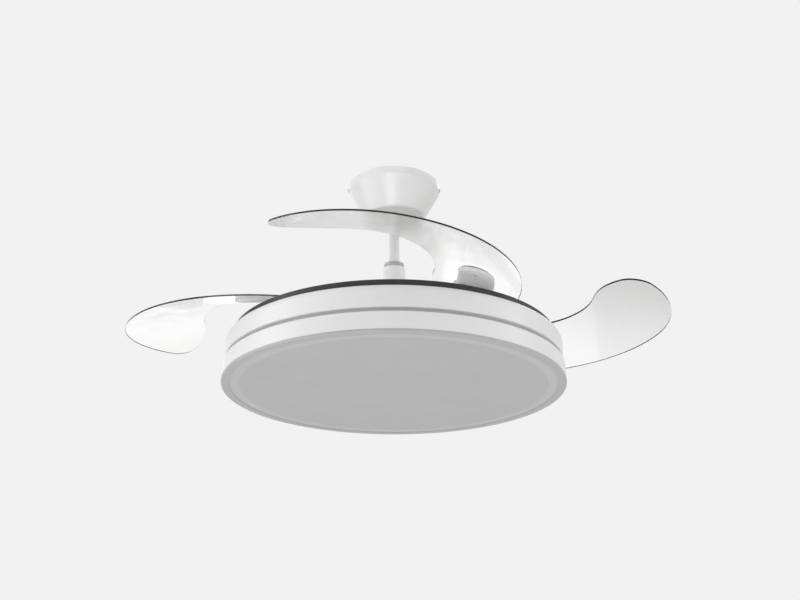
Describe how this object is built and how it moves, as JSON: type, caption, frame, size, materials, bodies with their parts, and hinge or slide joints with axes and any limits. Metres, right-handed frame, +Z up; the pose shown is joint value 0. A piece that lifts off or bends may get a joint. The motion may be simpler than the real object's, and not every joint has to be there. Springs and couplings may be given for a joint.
{
  "type": "retractable blade ceiling fan",
  "caption": "Ceiling fan with a round lamp body and clear plastic blades that swing out as it turns and fold back over the body.",
  "frame": {"origin": "centre of the ceiling bracket's top face, in the ceiling plane, on the fan's vertical axis", "axes": "+Z up along the fan's vertical axis, +X along the bracket's strap, to the right seen from the front"},
  "size_m": [0.8038, 0.8038, 0.33],
  "materials": {
    "steel_plain": "satin",
    "steel_dark": "satin",
    "rod_steel": "polished",
    "white_paint": "satin",
    "white_plastic": "gloss",
    "white_shell": "satin",
    "trim_grey": "satin",
    "opal": "matte",
    "tray_grey": "satin",
    "cast_alloy": "satin",
    "grey_rubber": "matte",
    "arm_white": "satin",
    "dark_plastic": "matte",
    "gear_plastic": "matte",
    "bronze": "satin",
    "copper_wire": "satin",
    "iron_core": "matte",
    "board_white": "matte",
    "emitter_yellow": "gloss",
    "clear_sheet": "gloss"
  },
  "bodies": {
    "ceiling": {"ceiling_bracket": "steel_plain", "canopy": "white_paint", "canopy_screws": "steel_plain", "terminal_block": "white_plastic", "receiver_box": "dark_plastic"},
    "hanging": {"hanger_ball": "dark_plastic", "ball_pin": "steel_plain", "downrod": "white_paint", "rod_collar": "steel_dark", "neck_cover": "white_shell", "motor_coupler": "steel_plain", "coupler_bolt": "steel_dark", "stator_shaft": "steel_plain", "shaft_collar": "steel_plain", "shaft_nut": "steel_dark", "stator_core": "iron_core", "stator_windings": "copper_wire", "bearing_inner_rings": "steel_plain", "lamp_plate": "steel_plain", "lamp_screws": "steel_plain", "upper_body_shell": "white_shell", "lower_lamp_housing": "white_shell", "lamp_chassis": "cast_alloy", "light_board": "board_white", "light_emitters": "emitter_yellow", "lamp_driver": "white_plastic"},
    "shade": {"trim_ring": "trim_grey", "diffuser": "opal"},
    "rotor": {"blade_tray": "tray_grey", "rotor_upper_shell": "cast_alloy", "rotor_lower_shell": "cast_alloy", "magnet_ring": "dark_plastic", "bearing_outer_rings": "steel_plain", "bearing_balls": "rod_steel", "rotor_screws": "steel_plain", "pivot_pins": "steel_plain", "pivot_bushes": "bronze", "pivot_nuts": "steel_plain", "return_springs": "rod_steel", "stop_posts": "grey_rubber", "gear_retainer": "steel_plain", "retainer_screws": "steel_dark"},
    "sync": {"sync_gear": "gear_plastic"},
    "folding_blade_1": {"blade_arm_1": "arm_white", "blade_1": "clear_sheet", "blade_clamp_1": "clear_sheet", "blade_screws_1": "steel_plain"},
    "folding_blade_2": {"blade_arm_2": "arm_white", "blade_2": "clear_sheet", "blade_clamp_2": "clear_sheet", "blade_screws_2": "steel_plain"},
    "folding_blade_3": {"blade_arm_3": "arm_white", "blade_3": "clear_sheet", "blade_clamp_3": "clear_sheet", "blade_screws_3": "steel_plain"},
    "folding_blade_4": {"blade_arm_4": "arm_white", "blade_4": "clear_sheet", "blade_clamp_4": "clear_sheet", "blade_screws_4": "steel_plain"}
  },
  "joints": [
    {"name": "hanger_swing", "type": "hinge", "parent": "ceiling", "child": "hanging", "pos_m": [0, 0, -0.038], "axis": [1, 0, 0], "range_deg": [-4, 4]},
    {"name": "shade_twist", "type": "hinge", "parent": "hanging", "child": "shade", "pos_m": [0, 0, -0.32], "axis": [0, 0, 1], "range_deg": [0, 12]},
    {"name": "rotor_spin", "type": "hinge", "parent": "hanging", "child": "rotor", "pos_m": [0, 0, -0.27], "axis": [0, 0, 1], "continuous": true},
    {"name": "gear_turn", "type": "hinge", "parent": "rotor", "child": "sync", "pos_m": [0, 0, -0.25], "axis": [0, 0, 1], "range_deg": [-1, 34]},
    {"name": "blade_fold_1", "type": "hinge", "parent": "rotor", "child": "folding_blade_1", "pos_m": [0.12608, 0.09851, -0.245], "axis": [0, 0, -1], "range_deg": [0, 73]},
    {"name": "blade_fold_2", "type": "hinge", "parent": "rotor", "child": "folding_blade_2", "pos_m": [0.09851, -0.12608, -0.245], "axis": [0, 0, -1], "range_deg": [0, 73]},
    {"name": "blade_fold_3", "type": "hinge", "parent": "rotor", "child": "folding_blade_3", "pos_m": [-0.12608, -0.09851, -0.245], "axis": [0, 0, -1], "range_deg": [0, 73]},
    {"name": "blade_fold_4", "type": "hinge", "parent": "rotor", "child": "folding_blade_4", "pos_m": [-0.09851, 0.12608, -0.245], "axis": [0, 0, -1], "range_deg": [0, 73]}
  ],
  "couplings": [
    {"joint": "gear_turn", "follows": "blade_fold_1", "ratio": 0.45455},
    {"joint": "blade_fold_2", "follows": "blade_fold_1", "ratio": 1},
    {"joint": "blade_fold_3", "follows": "blade_fold_1", "ratio": 1},
    {"joint": "blade_fold_4", "follows": "blade_fold_1", "ratio": 1}
  ]
}
